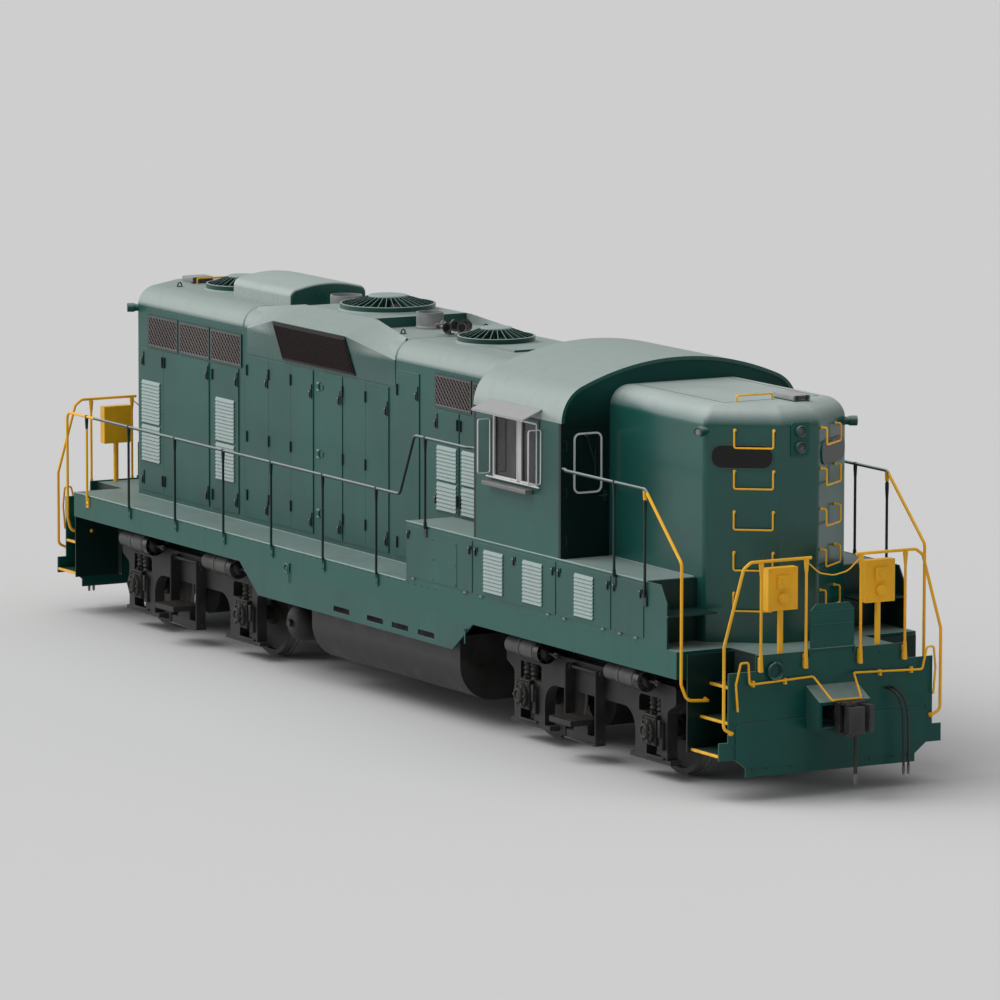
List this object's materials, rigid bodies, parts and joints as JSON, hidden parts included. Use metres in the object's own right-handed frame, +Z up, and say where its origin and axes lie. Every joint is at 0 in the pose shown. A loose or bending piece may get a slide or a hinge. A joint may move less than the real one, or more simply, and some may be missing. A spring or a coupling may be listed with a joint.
{
  "type": "diesel road-switcher locomotive",
  "caption": "Diesel road-switcher locomotive with a high short hood, a side-door cab, walkways and two swivelling four-wheel trucks.",
  "frame": {"origin": "bottom centre: midway between the coupler faces, on the centre line, at the wheel flange tips", "axes": "+X along the locomotive towards the short-hood end, +Y to its left, +Z up"},
  "size_m": [17.04, 3.5, 4.4371],
  "materials": {
    "coupler_iron": "dull",
    "dark_metal": "matte",
    "fitting_metal": "cast",
    "green_paint": "satin",
    "hose_rubber": "matte",
    "seat_leather": "worn",
    "truck_iron": "dull",
    "wheel_steel": "worn",
    "window_glass": "clear",
    "yellow_paint": "satin"
  },
  "bodies": {
    "root": {"air_hose_front_a": "hose_rubber", "air_hose_front_b": "hose_rubber", "air_hose_rear_a": "hose_rubber", "air_hose_rear_b": "hose_rubber", "air_reservoirs": "truck_iron", "brake_hose_front": "hose_rubber", "brake_hose_rear": "hose_rubber", "cab_floor": "green_paint", "cab_front_wall": "green_paint", "cab_rear_wall": "green_paint", "cab_roof": "green_paint", "cab_seats": "seat_leather", "cab_side_left": "green_paint", "cab_side_right": "green_paint", "cab_windows": "window_glass", "corner_steps": "green_paint", "couplers": "coupler_iron", "end_handrails": "yellow_paint", "engine_block": "dark_metal", "exhaust_stacks": "dark_metal", "fan_housings": "green_paint", "fuel_tank": "truck_iron", "grab_irons": "yellow_paint", "headlights": "green_paint", "hood_roof": "green_paint", "hood_screens": "dark_metal", "hood_sides": "green_paint", "horn": "dark_metal", "hose_ends_front": "fitting_metal", "hose_ends_rear": "fitting_metal", "jumper_boxes": "yellow_paint", "pilots": "green_paint", "short_hood": "green_paint", "side_boxes": "green_paint", "side_handrails": "green_paint", "side_skirts": "green_paint", "uncoupling_levers": "yellow_paint", "underframe": "green_paint", "winter_hatch": "green_paint"},
    "cab_door_front": {"cab_door_front": "green_paint"},
    "cab_door_rear": {"cab_door_rear": "green_paint"},
    "drop_step_front": {"drop_step_front": "green_paint"},
    "drop_step_rear": {"drop_step_rear": "green_paint"},
    "engine_door_left": {"engine_door_left": "green_paint"},
    "engine_door_right": {"engine_door_right": "green_paint"},
    "fan_brake": {"fan_rotor_brake": "dark_metal"},
    "fan_front": {"fan_rotor_front": "dark_metal"},
    "fan_rear": {"fan_rotor_rear": "dark_metal"},
    "knuckle_front": {"knuckle_front": "coupler_iron"},
    "knuckle_rear": {"knuckle_rear": "coupler_iron"},
    "truck_front": {"traction_motors_front": "truck_iron", "truck_fittings_front": "truck_iron", "truck_frame_front": "truck_iron"},
    "truck_rear": {"traction_motors_rear": "truck_iron", "truck_fittings_rear": "truck_iron", "truck_frame_rear": "truck_iron"},
    "wheelset_front_inner": {"wheelset_front_inner": "wheel_steel"},
    "wheelset_front_outer": {"wheelset_front_outer": "wheel_steel"},
    "wheelset_rear_inner": {"wheelset_rear_inner": "wheel_steel"},
    "wheelset_rear_outer": {"wheelset_rear_outer": "wheel_steel"}
  },
  "joints": [
    {"name": "truck_swivel_front", "type": "hinge", "parent": "root", "child": "truck_front", "pos_m": [4.7245, 0, 1.02], "axis": [0, 0, 1], "range_deg": [-5, 5]},
    {"name": "wheelset_spin_front_outer", "type": "hinge", "parent": "truck_front", "child": "wheelset_front_outer", "pos_m": [6.096, 0, 0.533], "axis": [0, 1, 0], "continuous": true},
    {"name": "wheelset_spin_front_inner", "type": "hinge", "parent": "truck_front", "child": "wheelset_front_inner", "pos_m": [3.353, 0, 0.533], "axis": [0, 1, 0], "continuous": true},
    {"name": "knuckle_swing_front", "type": "hinge", "parent": "root", "child": "knuckle_front", "pos_m": [8.39, -0.095, 0.9], "axis": [0, 0, -1], "range_deg": [0, 45]},
    {"name": "drop_step_fold_front", "type": "hinge", "parent": "root", "child": "drop_step_front", "pos_m": [7.87, 0, 1.594], "axis": [0, 1, 0], "range_deg": [0, 90]},
    {"name": "truck_swivel_rear", "type": "hinge", "parent": "root", "child": "truck_rear", "pos_m": [-4.7245, 0, 1.02], "axis": [0, 0, 1], "range_deg": [-5, 5]},
    {"name": "wheelset_spin_rear_outer", "type": "hinge", "parent": "truck_rear", "child": "wheelset_rear_outer", "pos_m": [-6.096, 0, 0.533], "axis": [0, 1, 0], "continuous": true},
    {"name": "wheelset_spin_rear_inner", "type": "hinge", "parent": "truck_rear", "child": "wheelset_rear_inner", "pos_m": [-3.353, 0, 0.533], "axis": [0, 1, 0], "continuous": true},
    {"name": "knuckle_swing_rear", "type": "hinge", "parent": "root", "child": "knuckle_rear", "pos_m": [-8.39, 0.095, 0.9], "axis": [0, 0, -1], "range_deg": [0, 45]},
    {"name": "drop_step_fold_rear", "type": "hinge", "parent": "root", "child": "drop_step_rear", "pos_m": [-7.87, 0, 1.594], "axis": [0, -1, 0], "range_deg": [0, 90]},
    {"name": "cab_door_swing_front", "type": "hinge", "parent": "root", "child": "cab_door_front", "pos_m": [4.706, -1.45, 2.975], "axis": [0, 0, -1], "range_deg": [0, 90]},
    {"name": "cab_door_swing_rear", "type": "hinge", "parent": "root", "child": "cab_door_rear", "pos_m": [2.758, 1.45, 2.975], "axis": [0, 0, -1], "range_deg": [0, 90]},
    {"name": "fan_spin_rear", "type": "hinge", "parent": "root", "child": "fan_rear", "pos_m": [-5.59, 0, 4.11], "axis": [0, 0, 1], "continuous": true},
    {"name": "fan_spin_brake", "type": "hinge", "parent": "root", "child": "fan_brake", "pos_m": [-1.96, 0, 4.23], "axis": [0, 0, 1], "continuous": true},
    {"name": "fan_spin_front", "type": "hinge", "parent": "root", "child": "fan_front", "pos_m": [0.607, 0, 4.11], "axis": [0, 0, 1], "continuous": true},
    {"name": "engine_door_swing_right", "type": "hinge", "parent": "root", "child": "engine_door_right", "pos_m": [-1.947, -0.9313, 2.605], "axis": [0, 0, -1], "range_deg": [0, 90]},
    {"name": "engine_door_swing_left", "type": "hinge", "parent": "root", "child": "engine_door_left", "pos_m": [-1.947, 0.9313, 2.605], "axis": [0, 0, 1], "range_deg": [0, 90]}
  ]
}
